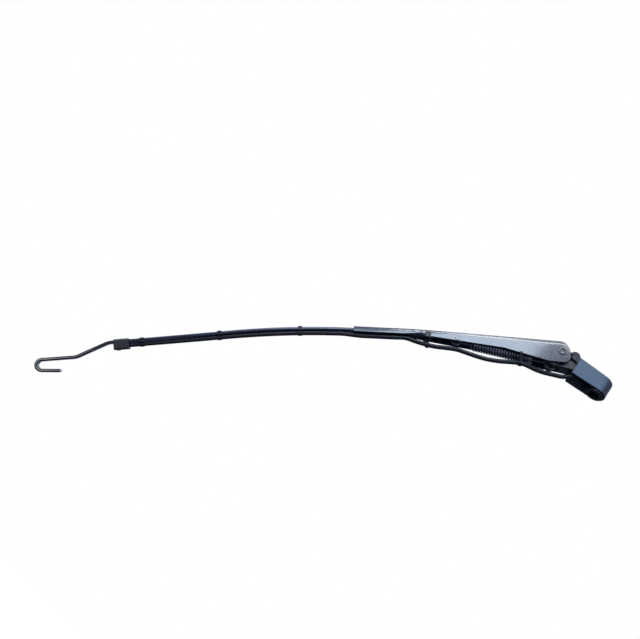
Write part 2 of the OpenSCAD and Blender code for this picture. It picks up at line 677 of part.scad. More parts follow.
// The nozzle block is moulded round the bar and the hose end, and carries two jets
module nozzle_block() color("dimgray") in_arm() on_bar(bar_run) difference() {
    along_x(nozzle_len) hull() for (side = [-1, 1]) {
        translate([side * (nozzle_w / 2 - 3), nozzle_bottom + nozzle_h - 3]) circle(r = 3, $fn = 32);
        translate([side * (nozzle_w / 2 - 2), nozzle_bottom + 2]) circle(r = 2, $fn = 32);
    }
    cube([60, bar_w + 2 * gap, bar_t + 2 * gap], center = true);
    translate([nozzle_len / 2 - 6.5, 0, -hose_under_bar]) rotate([0, 90, 0])
        cylinder(d = hose_d + 0.4, h = 20, $fn = 48);
    jet_places() translate([0, 0, -1]) cylinder(d = jet_d, h = jet_depth + 1, $fn = 48);
}

jet_depth = 3;
module jet_places() for (side = [-1, 1])
    translate([5 - nozzle_len / 2, side * (nozzle_w / 2 - 4), nozzle_bottom]) children();

module nozzle_jets() color("dimgray") in_arm() on_bar(bar_run) jet_places() difference() {
    translate([0, 0, -0.6]) cylinder(d = jet_d, h = jet_depth + 0.6, $fn = 48);
    translate([0, 0, -1]) cylinder(d = 0.9, h = 3, $fn = 24);
}

// The elbow in the head joins the hose to the supply hose, which pushes on from below
module hose_connector() color("black")
    translate([elbow_at[0] - hinge_dist, 0, elbow_at[1] + hinge_height]) {
        body_r = hose_d / 2 + 0.8;
        spigot_at = elbow_len - 2.6;
        rotate([0, 90, 0]) cylinder(r = body_r, h = elbow_len, $fn = 48);
        translate([spigot_at - 3, -3, -body_r]) cube([5.6, 6, body_r]);
        translate([spigot_at, 0, -spigot_len]) cylinder(d = spigot_d, h = spigot_len, $fn = 48);
        translate([1, -2, 0]) cube([elbow_len - 2, 4, neck_bottom - elbow_at[1]]);
    }

head();
head_cover();
cover_pin();
hinge_pin();
hinge_bush_near();
hinge_bush_far();
hinge_washers();
retainer();
arm_bar();
bar_rivets();
spring();
spring_hook();
spring_pin_head();
spring_pin_arm();
washer_hose();
hose_clips();
neck_clip();
hose_holder();
nozzle_block();
nozzle_jets();
hose_connector();
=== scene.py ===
from math import atan2, cos, hypot, pi, radians, sin, tan

import bmesh
import bpy
from mathutils import Matrix, Vector


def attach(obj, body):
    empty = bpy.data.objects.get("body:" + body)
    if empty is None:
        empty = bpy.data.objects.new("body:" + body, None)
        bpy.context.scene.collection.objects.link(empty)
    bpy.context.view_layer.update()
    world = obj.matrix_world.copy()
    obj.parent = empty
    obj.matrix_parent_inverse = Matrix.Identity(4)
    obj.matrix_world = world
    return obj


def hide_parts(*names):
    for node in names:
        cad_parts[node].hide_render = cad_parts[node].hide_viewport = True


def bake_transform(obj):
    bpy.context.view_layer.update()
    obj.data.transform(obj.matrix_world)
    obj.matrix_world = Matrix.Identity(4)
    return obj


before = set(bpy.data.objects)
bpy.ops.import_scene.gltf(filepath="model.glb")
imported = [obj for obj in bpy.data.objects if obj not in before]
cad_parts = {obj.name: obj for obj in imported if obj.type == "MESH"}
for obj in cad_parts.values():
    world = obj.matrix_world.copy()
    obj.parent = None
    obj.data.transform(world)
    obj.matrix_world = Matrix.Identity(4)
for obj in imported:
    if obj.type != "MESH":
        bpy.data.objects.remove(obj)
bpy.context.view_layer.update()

# Studio
# The arm lies across the picture, seen from its side and a little from below, as it would be seen
# from behind the glass. The pale floor is far below, so that it hides the arm from no side.
hinge_dist, hinge_height, rest_angle = 57, 19.5, radians(33)
arm_frame = (Matrix.Translation((-hinge_dist / 1000, 0, hinge_height / 1000))
             @ Matrix.Rotation(-rest_angle, 4, "Y"))


def arm_place(x, y, z):
    """A place in the arm's own frame, in millimetres from the hinge pin, as a place in metres."""
    return arm_frame @ (Vector((x, y, z)) / 1000)


def arm_heading(x, y, z):
    """A heading in the arm's own frame, turned to the part's frame."""
    return arm_frame.to_3x3() @ Vector((x, y, z))


picture_px, focal_px, sensor_mm = 640, 708, 36
roll = radians(5.8)
across_view = Vector((0, -0.5, 0.866))
camera_place = arm_place(-293.8, -753.5, -417.6)
view_right = arm_heading(*(Vector((cos(roll), 0, 0)) + across_view * sin(roll)))
view_up = arm_heading(*(Vector((-sin(roll), 0, 0)) + across_view * cos(roll)))
view_back = view_right.cross(view_up)
lens = bpy.data.cameras.new("camera")
lens.sensor_fit = "HORIZONTAL"
lens.sensor_width = sensor_mm
lens.lens = sensor_mm * focal_px / picture_px
lens.clip_end = 60
camera = bpy.data.objects.new("camera", lens)
bpy.context.scene.collection.objects.link(camera)
camera.matrix_world = (Matrix.Translation(camera_place)
                       @ Matrix((view_right, view_up, view_back)).transposed().to_4x4())
bpy.context.scene.camera = camera
bpy.context.scene.view_settings.view_transform = "Standard"


def softbox(name, at, aim, width, height, watts, colour):
    """A rectangular soft light that faces a place."""
    light = bpy.data.lights.new(name, "AREA")
    light.shape, light.size, light.size_y = "RECTANGLE", width, height
    light.energy, light.color = watts, colour
    lamp = bpy.data.objects.new(name, light)
    bpy.context.scene.collection.objects.link(lamp)
    lamp.matrix_world = (Matrix.Translation(at)
                         @ (Vector(aim) - Vector(at)).to_track_quat("-Z", "Y").to_matrix().to_4x4())


softbox("key", (-0.36, -1.31, 0.71), (-0.15, 0, 0), 0.40, 0.36, 3.6, (0.72, 0.86, 1.0))
softbox("low", (-0.62, -1.09, -0.85), (-0.5, 0, -0.35), 0.36, 0.24, 0.9, (1.0, 0.98, 0.95))
softbox("left", (-0.83, -1.31, 0.42), (-0.35, 0, -0.17), 0.60, 0.42, 2.6, (0.62, 0.76, 1.0))
softbox("strip", (-0.42, -1.31, 1.08), (-0.15, 0, 0), 0.90, 0.12, 5, (0.92, 0.97, 1.0))
softbox("overhead", (-0.25, -0.5, 1.5), (-0.2, 0, 0), 1.4, 0.5, 10, (0.95, 0.97, 1.0))
softbox("behind", (-0.3, 1.7, 0.9), (-0.2, 0, 0), 1.2, 0.7, 3.5, (1.0, 0.98, 0.95))

# The camera sees a white backdrop, but the paint reflects a dark ground under a blue sky.
ground_colour, sky_colour = (0.05, 0.06, 0.10, 1), (0.40, 0.48, 0.72, 1)
ground_slope, sky_slope = -0.3, 0.4
world = bpy.data.worlds.new("studio")
world.use_nodes = True
bpy.context.scene.world = world
sky = world.node_tree
backdrop = sky.nodes["Background"]
backdrop.inputs["Color"].default_value = (1, 1, 1, 1)
around = sky.nodes.new("ShaderNodeBackground")
seen = sky.nodes.new("ShaderNodeLightPath")
choice = sky.nodes.new("ShaderNodeMixShader")
ray = sky.nodes.new("ShaderNodeSeparateXYZ")
slope_share = sky.nodes.new("ShaderNodeMapRange")
slope_share.inputs["From Min"].default_value = ground_slope
slope_share.inputs["From Max"].default_value = sky_slope
shade = sky.nodes.new("ShaderNodeMix")
shade.data_type = "RGBA"
shade.inputs[6].default_value = ground_colour
shade.inputs[7].default_value = sky_colour
sky.links.new(sky.nodes.new("ShaderNodeTexCoord").outputs["Generated"], ray.inputs["Vector"])
sky.links.new(ray.outputs["Z"], slope_share.inputs["Value"])
sky.links.new(slope_share.outputs["Result"], shade.inputs[0])
sky.links.new(shade.outputs[2], around.inputs["Color"])
sky.links.new(seen.outputs["Is Camera Ray"], choice.inputs["Fac"])
sky.links.new(around.outputs["Background"], choice.inputs[1])
sky.links.new(backdrop.outputs["Background"], choice.inputs[2])
sky.links.new(choice.outputs["Shader"], sky.nodes["World Output"].inputs["Surface"])

floor_z, floor_reach = -1, 6
floor_mesh = bpy.data.meshes.new("floor")
floor_mesh.from_pydata([(x * floor_reach, y * floor_reach, floor_z)
                        for x, y in ((-1, -1), (1, -1), (1, 1), (-1, 1))], [], [(0, 1, 2, 3)])
floor = bpy.data.objects.new("floor", floor_mesh)
bpy.context.scene.collection.objects.link(floor)
floor.visible_diffuse = floor.visible_glossy = False
floor_paint = bpy.data.materials.new("floor_paint")
floor_paint.use_nodes = True
floor_shader = floor_paint.node_tree.nodes["Principled BSDF"]
floor_shader.inputs["Base Color"].default_value = (0.86, 0.86, 0.87, 1)
floor_shader.inputs["Roughness"].default_value = 0.9
floor_shader.inputs["Emission Color"].default_value = (1, 1, 1, 1)
floor_shader.inputs["Emission Strength"].default_value = 0.7
floor_mesh.materials.append(floor_paint)

# Head
# The head is one die casting in zinc alloy with a satin black coat. It clamps on the wiper spindle
# under its nut, and its two ears carry the hinge. Its edges are soft, as the die leaves them.


class Finish:
    """A material with its shader, read in the coordinates of the object."""

    def __init__(self, name, colour, roughness, metallic=0.0, coat=0.0, coat_roughness=0.05):
        self.material = bpy.data.materials.new(name)
        self.material.use_nodes = True
        self.nodes = self.material.node_tree.nodes
        self.shader = self.nodes["Principled BSDF"]
        self.shader.inputs["Base Color"].default_value = (*colour, 1)
        self.shader.inputs["Roughness"].default_value = roughness
        self.shader.inputs["Metallic"].default_value = metallic
        self.shader.inputs["Coat Weight"].default_value = coat
        self.shader.inputs["Coat Roughness"].default_value = coat_roughness
        self.place = self.nodes.new("ShaderNodeTexCoord").outputs["Object"]

    def join(self, a, b):
        self.material.node_tree.links.new(a, b)

    def mottle(self, blotch_mm, detail=3.0, stretch=(1, 1, 1), place=None):
        """Noise with blotches of about this width."""
        mapping = self.nodes.new("ShaderNodeMapping")
        mapping.inputs["Scale"].default_value = stretch
        noise = self.nodes.new("ShaderNodeTexNoise")
        noise.inputs["Scale"].default_value = 1000 / blotch_mm
        noise.inputs["Detail"].default_value = detail
        self.join(place or self.place, mapping.inputs["Vector"])
        self.join(mapping.outputs["Vector"], noise.inputs["Vector"])
        return noise.outputs["Fac"]

    def specks(self, apart_mm, size):
        """Small round specks, 1 in their middle, about this far apart."""
        cells = self.nodes.new("ShaderNodeTexVoronoi")
        cells.inputs["Scale"].default_value = 1000 / apart_mm
        self.join(self.place, cells.inputs["Vector"])
        return self.ramp(cells.outputs["Distance"], 1, 0, size, size * 0.4)

    def ramp(self, value, low, high, start=0.35, end=0.65):
        """Goes from low to high while a value goes from start to end."""
        ramp = self.nodes.new("ShaderNodeMapRange")
        ramp.inputs["From Min"].default_value = start
        ramp.inputs["From Max"].default_value = end
        ramp.inputs["To Min"].default_value = low if start < end else high
        ramp.inputs["To Max"].default_value = high if start < end else low
        self.join(value, ramp.inputs["Value"])
        return ramp.outputs["Result"]

    def dull(self, value, low, high):
        """Roughness that varies with a value."""
        self.join(self.ramp(value, low, high), self.shader.inputs["Roughness"])

    def tint(self, value, first, second):
        """Base colour that varies between two colours."""
        mix = self.nodes.new("ShaderNodeMix")
        mix.data_type = "RGBA"
        mix.inputs[6].default_value = (*first, 1)
        mix.inputs[7].default_value = (*second, 1)
        self.join(self.ramp(value, 0, 1), mix.inputs[0])
        self.join(mix.outputs[2], self.shader.inputs["Base Color"])

    def change(self, value, colour):
        """Lays another base colour over the first where a value is 1."""
        mix = self.nodes.new("ShaderNodeMix")
        mix.data_type = "RGBA"
        mix.inputs[7].default_value = (*colour, 1)
        self.join(self.shader.inputs["Base Color"].links[0].from_socket, mix.inputs[6])
        self.join(value, mix.inputs[0])
        self.join(mix.outputs[2], self.shader.inputs["Base Color"])

    def height_over(self, at, heading, low_mm, high_mm):
        """Rises smoothly from 0 to 1 between two heights over a place, measured along a heading."""
        offset = self.nodes.new("ShaderNodeVectorMath")
        offset.operation = "SUBTRACT"
        offset.inputs[1].default_value = at
        along = self.nodes.new("ShaderNodeVectorMath")
        along.operation = "DOT_PRODUCT"
        along.inputs[1].default_value = heading
        self.join(self.place, offset.inputs[0])
        self.join(offset.outputs["Vector"], along.inputs[0])
        rise = self.nodes.new("ShaderNodeMapRange")
        rise.interpolation_type = "SMOOTHSTEP"
        rise.inputs["From Min"].default_value = low_mm / 1000
        rise.inputs["From Max"].default_value = high_mm / 1000
        self.join(along.outputs["Value"], rise.inputs["Value"])
        return rise.outputs["Result"]

    def relief(self, *layers, coat=False):
        """Bumps, one over another, as (height value, height in millimetres)."""
        below = None
        for value, height_mm in layers:
            bump = self.nodes.new("ShaderNodeBump")
            bump.inputs["Strength"].default_value = 1
            bump.inputs["Distance"].default_value = height_mm / 1000
            self.join(value, bump.inputs["Height"])
            if below:
                self.join(below, bump.inputs["Normal"])
            below = bump.outputs["Normal"]
        self.join(below, self.shader.inputs["Normal"])
        if coat:
            self.join(below, self.shader.inputs["Coat Normal"])


def add_piece(name, mesh, body, slot, finish, *replaced):
    """A finished mesh as a piece that rides on a body and stands for CAD nodes."""
    piece = bpy.data.objects.new(name, mesh)
    bpy.context.scene.collection.objects.link(piece)
    mesh.materials.clear()
    mesh.materials.append(finish.material)
    if body:
        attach(piece, body)
    if replaced:
        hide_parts(*replaced)
    return piece


def soft_edges(node, radius_mm, share=None):
    """A merged copy of a node's mesh with its edges rounded; share gives less at some of them."""
    merge_gap, flat_turn, edge_turn = 2e-6, radians(0.6), radians(40)
    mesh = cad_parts[node].data.copy()
    work = bmesh.new()
    work.from_mesh(mesh)
    bmesh.ops.remove_doubles(work, verts=work.verts, dist=merge_gap)
    bmesh.ops.dissolve_limit(work, angle_limit=flat_turn, verts=work.verts, edges=work.edges)
    weight = work.edges.layers.float.new("bevel_weight_edge")
    for edge in work.edges:
        if len(edge.link_faces) == 2 and edge.calc_face_angle(0) > edge_turn:
            middle = (edge.verts[0].co + edge.verts[1].co) / 2
            edge[weight] = share(middle * 1000) if share else 1
    work.to_mesh(mesh)
    work.free()
    mesh.shade_smooth()
    blank = bpy.data.objects.new("blank", mesh)
    bpy.context.scene.collection.objects.link(blank)
    bevel = blank.modifiers.new("edges", "BEVEL")
    bevel.limit_method, bevel.width, bevel.segments = "WEIGHT", radius_mm / 1000, 3
    bevel.use_clamp_overlap = False
    normals = blank.modifiers.new("flats", "WEIGHTED_NORMAL")
    normals.keep_sharp = True
    rounded = bpy.data.meshes.new_from_object(
        blank.evaluated_get(bpy.context.evaluated_depsgraph_get()))
    bpy.data.objects.remove(blank)
    return rounded


casting = Finish("satin_black_casting", (0.018, 0.019, 0.022), 0.45, coat=0.25, coat_roughness=0.3)
grain = casting.mottle(0.9, 4)
casting.dull(casting.mottle(6, 2), 0.38, 0.58)
casting.tint(casting.mottle(14, 2), (0.014, 0.015, 0.018), (0.026, 0.027, 0.031))
casting.relief((grain, 0.03), (casting.mottle(9, 1), 0.08))
add_piece("head_casting", soft_edges("head", 0.45), "head", "cast_head", casting, "head")

# Hinge
# A headed steel rivet runs through both flanges and turns in two sintered bronze bushes, with a
# thin plated washer on each side. Its heads are painted with the channel, in the next section.


def paint_node(node, finish):
    """Gives a finish to a CAD node that is shown as it is."""
    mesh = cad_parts[node].data
    mesh.materials.clear()
    mesh.materials.append(finish.material)


plated = Finish("zinc_plated_steel", (0.50, 0.51, 0.53), 0.30, metallic=1.0)
plated.dull(plated.mottle(3, 3), 0.22, 0.42)
plated.tint(plated.mottle(5, 2), (0.42, 0.43, 0.46), (0.58, 0.58, 0.58))
plated.relief((plated.mottle(0.5, 2, (1, 0.06, 1)), 0.004))
bronze = Finish("sintered_bronze", (0.42, 0.27, 0.12), 0.45, metallic=1.0)
bronze.dull(bronze.mottle(1.2, 3), 0.35, 0.6)
bronze.relief((bronze.specks(0.5, 0.35), 0.02))
paint_node("hinge_washers", plated)
paint_node("hinge_bush_near", bronze)
paint_node("hinge_bush_far", bronze)

# Channel
# The retainer is pressed from 1.8 mm sheet steel: a tapered channel whose flanges fold in at the
# front and grip the bar. It is dipped in blue-black gloss paint. Its flanges fall in a little
# towards the bends, as pressed sheet does, which draws a bright line along their upper part.
fall_from, fall_to, fall_depth = 9, 15, 0.35
gloss = Finish("blue_black_gloss_paint", (0.012, 0.016, 0.034), 0.2, coat=1.0, coat_roughness=0.09)
gloss.dull(gloss.mottle(30, 1), 0.18, 0.26)
gloss.tint(gloss.mottle(60, 1), (0.011, 0.016, 0.036), (0.017, 0.022, 0.050))
fall_in = gloss.height_over(arm_place(0, 0, 0), arm_heading(0, 0, 1), fall_from, fall_to)
gloss.relief((gloss.mottle(40, 1), 0.1), (fall_in, -fall_depth), coat=True)
add_piece("pressed_channel", soft_edges("retainer", 0.3), "arm", "painted_sheet", gloss, "retainer")
add_piece("hinge_rivet", soft_edges("hinge_pin", 0.3), "arm", "pin_steel", gloss, "hinge_pin")
add_piece("rivet_heads", soft_edges("bar_rivets", 0.15), "arm", "painted_sheet", gloss, "bar_rivets")

# Bar and hook
# The bar is drawn flat steel, 9 x 4 mm with rounded edges. It is bowed to the glass, twisted so
# that the blade stands square on it, and bent into a J-hook. Its gloss black paint is blue-tinged;
# towards the hook its colour turns darker and warmer, a painted reflection of warmer light there.
sheet_t, grip_gap, web_height = 1.8, 0.1, 15
bar_w, bar_t, bar_edge_r, bar_twist = 9, 4, 1.3, 24
bar_drop = sheet_t + grip_gap + bar_t / 2
bar_level = web_height - bar_drop
bar_start, bend_at, neck_end, nozzle_len = 136, 178, 252, 17.4
neck_slope, bow_angle, bow_len, tail_len = 3.5, 8.5, 150, 127.9
bar_run = bow_len + tail_len
twist_end = bar_run - 20
bow_r = bow_len / radians(bow_angle)
bow_start = Vector((-neck_end, bar_level - (neck_end - bend_at) * tan(radians(neck_slope))))


def smooth(share):
    """Eases from 0 to 1, level at both ends."""
    share = min(max(share, 0), 1)
    return share * share * (3 - 2 * share)


def bar_place(t):
    """Where the bar's middle line is t mm past the neck, with its slope and twist in radians."""
    turn = radians(bar_twist) * smooth(t / twist_end)
    start, slope = radians(neck_slope), radians(neck_slope + bow_angle * min(max(t, 0), bow_len) / bow_len)
    at = bow_start + bow_r * Vector((sin(start) - sin(slope), cos(slope) - cos(start)))
    past = t if t < 0 else max(t - bow_len, 0)
    return at - past * Vector((cos(slope), sin(slope))), slope, turn


def bar_axes(t):
    """The bar's frame t mm past the neck: +X to the head, +Z out of its flat side, in millimetres."""
    at, slope, turn = bar_place(t)
    return (Matrix.Translation((at.x, 0, at.y)) @ Matrix.Rotation(-slope, 4, "Y")
            @ Matrix.Rotation(turn, 4, "X"))


def rounded_section(width, height, radius):
    """A rectangle with round corners, as places round its middle."""
    steps = 4
    corners = [(1, 1, 0), (-1, 1, 90), (-1, -1, 180), (1, -1, 270)]
    return [(cx * (width / 2 - radius) + radius * cos(radians(start + 90 * k / steps)),
             cy * (height / 2 - radius) + radius * sin(radians(start + 90 * k / steps)))
            for cx, cy, start in corners for k in range(steps + 1)]


def closed_skin(name, rings):
    """A closed mesh over rings of places in the arm's frame, in millimetres."""
    mesh = bpy.data.meshes.new(name)
    n = len(rings[0])
    last = (len(rings) - 1) * n
    faces = [(j + i, j + (i + 1) % n, j + n + (i + 1) % n, j + n + i)
             for j in range(0, last, n) for i in range(n)]
    faces += [tuple(reversed(range(n))), tuple(last + i for i in range(n))]
    mesh.from_pydata([arm_place(*p) for ring in rings for p in ring], [], faces)
    work = bmesh.new()
    work.from_mesh(mesh)
    bmesh.ops.recalc_face_normals(work, faces=work.faces)
    work.to_mesh(mesh)
    work.free()
    mesh.shade_smooth()
    mesh.set_sharp_from_angle(angle=radians(50))
    return mesh


class HookLine:
    """The hook's middle line, drawn flat from the nozzle block to the tip of the free leg."""

    def __init__(self):
        self.at, self.heading, self.stops = Vector((0, 0)), 0.0, [(Vector((0, 0)), 0.0)]

    def straight(self, length):
        start = self.at.copy()
        for share in (0.5, 1):
            self.at = start + length * share * Vector((cos(self.heading), sin(self.heading)))
            self.stops.append((self.at.copy(), self.heading))

    def bend(self, radius, turn):
        side = 1 if turn > 0 else -1
        centre = self.at + side * radius * Vector((-sin(self.heading), cos(self.heading)))
        start, steps = self.heading, max(6, int(abs(turn) / 5))
        for k in range(1, steps + 1):
            self.heading = start + radians(turn) * k / steps
            self.at = centre + side * radius * Vector((sin(self.heading), -cos(self.heading)))
            self.stops.append((self.at.copy(), self.heading))


offset_r, offset_angle, offset_len = 22, 20, 33
hook_shank, hook_inner_r, hook_turn, hook_leg = 35, 4.3, 175, 21
hook = HookLine()
hook.straight(nozzle_len / 2 + 2.3)
hook.bend(offset_r, offset_angle)
hook.straight(offset_len)
hook.bend(offset_r, -offset_angle - 0.5)
hook.straight(hook_shank)
hook.bend(hook_inner_r + bar_t / 2, hook_turn)
hook.straight(hook_leg)
hook_axes = bar_axes(bar_run)


def hook_ring(at, heading, section):
    """A section of the bar round a place on the hook's middle line, in the arm's frame."""
    return [hook_axes @ Vector((-(at.x + v * sin(heading)), u, -(at.y - v * cos(heading))))
            for u, v in section]


# Both cut ends are eased over a short length, where the section is a little smaller.
end_ease, end_width, end_height = 0.4, 0.86, 0.7
bar_section = rounded_section(bar_w, bar_t, bar_edge_r)
end_section = [(end_width * u, end_height * v) for u, v in bar_section]
bar_rings = [[Vector((-bar_start, u, bar_level + v)) for u, v in end_section]]
bar_rings += [[Vector((x, u, bar_level + v)) for u, v in bar_section]
              for x in (-bar_start - end_ease, -156, -bend_at + 3)]
bar_rings += [[bar_axes(t) @ Vector((0, u, v)) for u, v in bar_section]
              for t in [-72, -50, -25, -10, *range(0, int(bar_run), 6)]]
bar_rings += [hook_ring(at, heading, bar_section) for at, heading in hook.stops]
hook_end, end_heading = hook.stops[-1]
hook_end = hook_end + end_ease * Vector((cos(end_heading), sin(end_heading)))
bar_rings.append(hook_ring(hook_end, end_heading, end_section))

# Painted reflection: towards the hook the base colour turns darker and warmer, standing in for the warmer
# light that the hook reflects.
warm_reflection_from, warm_reflection_over = -470, 60
black = Finish("black_gloss_paint", (0.012, 0.012, 0.016), 0.26, coat=1.0, coat_roughness=0.06)
black.shader.inputs["Coat IOR"].default_value = 1.8
black.dull(black.mottle(16, 3), 0.22, 0.36)
black.tint(black.mottle(40, 2), (0.030, 0.034, 0.056), (0.042, 0.046, 0.074))
black.change(black.height_over(arm_place(warm_reflection_from, 0, 0), arm_heading(-1, 0, 0), 0, warm_reflection_over),
             (0.020, 0.018, 0.016))
black.relief((black.mottle(2.4, 2), 0.01), (black.mottle(18, 1, (0.3, 1, 0.3)), 0.03), coat=True)
add_piece("hook_bar", closed_skin("hook_bar", bar_rings), "arm", "painted_bar", black, "arm_bar")

# Spring
# A close-coiled tension spring pulls the arm to the glass. Its inner end loops round a pin across
# the channel; its outer coils draw in to hold the wire hook that pulls on the head's cross pin.
anchor, crank_r, crank_angle = Vector((-126, 0, 6)), 14, radians(45)
pin_r, pin_play = 2.5, 0.2
wire, coil_radius, pitch, coils, coil_from = 3.0, 5.5, 3.3, 23, 17
loop_radius = pin_r + pin_play + wire / 2

# While the arm lifts, the cross pin dips and comes up again, and the spring points midway.
hook_at = Vector((-crank_r * sin(crank_angle) - 1, 0, -crank_r * (1 + cos(crank_angle)) / 2))
spring_slope = atan2(anchor.z - hook_at.z, hook_at.x - anchor.x)
spring_frame = (arm_frame @ Matrix.Translation(anchor / 1000)
                @ Matrix.Rotation(spring_slope, 4, "Y"))


class WireTree:
    """Geometry Nodes that sweep a round section along a line, with a named input for each size."""

    def __init__(self, name, sizes):
        self.tree = bpy.data.node_groups.new(name, "GeometryNodeTree")
        self.sizes = sizes
        panel = self.tree.interface
        panel.new_socket("Geometry", in_out="INPUT", socket_type="NodeSocketGeometry")
        for label, value in sizes.items():
            kind = "NodeSocketInt" if isinstance(value, int) else "NodeSocketFloat"
            panel.new_socket(label, in_out="INPUT", socket_type=kind).default_value = value
        panel.new_socket("Geometry", in_out="OUTPUT", socket_type="NodeSocketGeometry")
        self.given, self.end = self.add("NodeGroupInput").outputs, self.add("NodeGroupOutput")

    def add(self, kind):
        return self.tree.nodes.new(kind)

    def join(self, a, b):
        self.tree.links.new(a, b)

    def work_out(self, operation, a, b=None):
        """A Math node; a and b are sockets or numbers."""
        node = self.add("ShaderNodeMath")
        node.operation = operation
        for socket, value in zip(node.inputs, (a, b)):
            if isinstance(value, (int, float)):
                socket.default_value = value
            elif value is not None:
                self.join(value, socket)
        return node.outputs[0]

    def sweep(self, curve, diameter, sides, finish):
        """Sweeps a round section along a curve, and ends the tree."""
        ring = self.add("GeometryNodeCurvePrimitiveCircle")
        ring.inputs["Resolution"].default_value = sides
        self.join(self.work_out("MULTIPLY", diameter, 0.5), ring.inputs["Radius"])
        tube = self.add("GeometryNodeCurveToMesh")
        tube.inputs["Fill Caps"].default_value = True
        round_shade = self.add("GeometryNodeSetShadeSmooth")
        real = self.add("GeometryNodeRealizeInstances")
        paint = self.add("GeometryNodeSetMaterial")
        paint.inputs["Material"].default_value = finish.material
        self.join(curve, tube.inputs["Curve"])
        self.join(ring.outputs["Curve"], tube.inputs["Profile Curve"])
        self.join(tube.outputs["Mesh"], round_shade.inputs["Geometry"])
        self.join(round_shade.outputs["Geometry"], real.inputs["Geometry"])
        self.join(real.outputs["Geometry"], paint.inputs["Geometry"])
        self.join(paint.outputs["Geometry"], self.end.inputs[0])

    def grow(self, name, places):
        """Runs the tree on a line through places and returns the plain mesh that it makes."""
        start = bpy.data.meshes.new(name)
        start.from_pydata(places, [(i, i + 1) for i in range(len(places) - 1)], [])
        blank = bpy.data.objects.new("blank", start)
        bpy.context.scene.collection.objects.link(blank)
        modifier = blank.modifiers.new(name, "NODES")
        modifier.node_group = self.tree
        for socket in self.tree.interface.items_tree:
            if socket.in_out == "INPUT" and socket.name in self.sizes:
                modifier[socket.identifier] = self.sizes[socket.name]
        blank.update_tag()
        mesh = bpy.data.meshes.new_from_object(
            blank.evaluated_get(bpy.context.evaluated_depsgraph_get()))
        bpy.data.objects.remove(blank)
        return mesh


first_share, closing_coils = 0.28, 1.5
spring_tree = WireTree("tension_spring", {
    "Coils": coils, "Steps a coil": 32, "Pitch": pitch / 1000, "Coil radius": coil_radius / 1000,
    "Wire": wire / 1000, "First coil": coil_from / 1000, "Draw in": 0.0016})
given, work_out = spring_tree.given, spring_tree.work_out
line = spring_tree.add("GeometryNodeMeshLine")
steps = work_out("MULTIPLY", given["Coils"], given["Steps a coil"])
spring_tree.join(work_out("ADD", steps, 1), line.inputs["Count"])
index = spring_tree.add("GeometryNodeInputIndex").outputs[0]
turns = work_out("DIVIDE", index, given["Steps a coil"])
angle = work_out("MULTIPLY", turns, 2 * pi)
along = work_out("ADD", given["First coil"], work_out("MULTIPLY", turns, given["Pitch"]))

# The first coil opens out from the loop's shank, and the last ones close on the wire hook.
opening = work_out("ADD", first_share, work_out("MULTIPLY", 1 - first_share, work_out("MINIMUM", turns, 1)))
closing_from = work_out("SUBTRACT", given["Coils"], closing_coils)
closing = work_out("DIVIDE", work_out("SUBTRACT", turns, closing_from), closing_coils)
closing = work_out("MAXIMUM", closing, 0)
out = work_out("SUBTRACT", work_out("MULTIPLY", given["Coil radius"], opening),
               work_out("MULTIPLY", given["Draw in"], closing))
helix = spring_tree.add("ShaderNodeCombineXYZ")
spring_tree.join(along, helix.inputs["X"])
spring_tree.join(work_out("MULTIPLY", out, work_out("COSINE", angle)), helix.inputs["Y"])
spring_tree.join(work_out("MULTIPLY", out, work_out("SINE", angle)), helix.inputs["Z"])
coiled = spring_tree.add("GeometryNodeSetPosition")
spring_tree.join(line.outputs["Mesh"], coiled.inputs["Geometry"])
spring_tree.join(helix.outputs["Vector"], coiled.inputs["Position"])
both = spring_tree.add("GeometryNodeJoinGeometry")
spring_tree.join(coiled.outputs["Geometry"], both.inputs["Geometry"])
spring_tree.join(given["Geometry"], both.inputs["Geometry"])
to_curve = spring_tree.add("GeometryNodeMeshToCurve")
spring_tree.join(both.outputs["Geometry"], to_curve.inputs["Mesh"])

spring_wire = Finish("oiled_spring_wire", (0.16, 0.16, 0.18), 0.32, metallic=0.9)
spring_wire.dull(spring_wire.mottle(2.5, 3), 0.24, 0.42)
spring_wire.tint(spring_wire.mottle(7, 2), (0.17, 0.19, 0.215), (0.30, 0.32, 0.35))
spring_wire.relief((spring_wire.mottle(0.4, 2), 0.004))
spring_tree.sweep(to_curve.outputs["Curve"], given["Wire"], 12, spring_wire)
loop = [(loop_radius * cos(radians(a)) / 1000, 0, -loop_radius * sin(radians(a)) / 1000)
        for a in range(-330, 1, 10)]
loop += [(x / 1000, 0, 0) for x in (loop_radius + 1, 8, 12, coil_from + 1)]
spring_mesh = spring_tree.grow("spring_coils", loop)
spring_mesh.transform(spring_frame)
spring = add_piece("spring_coils", spring_mesh, None, "spring_steel", spring_wire, "spring")
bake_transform(spring)
paint_node("spring_hook", spring_wire)
paint_node("spring_pin_head", plated)
paint_node("spring_pin_arm", gloss)

# Washer hose
# One length of 5.5 mm black rubber hose runs from the nozzle block under the bar and the neck,
# past the spring and under the head to the elbow. It is extruded, so faint lines run along it.
hose_d, hose_in_nozzle = 5.5, 4
hose_under_bar = bar_t / 2 + hose_d / 2 + 0.05
hose_under_neck = (2 * sheet_t + bar_t + 2 * grip_gap) - bar_drop + hose_d / 2 + 0.1
clear_of_neck, neck_dip = 8, 14
elbow_at, elbow_run, leaving_slope = Vector((33.5, 0, -14)), 4, radians(30)

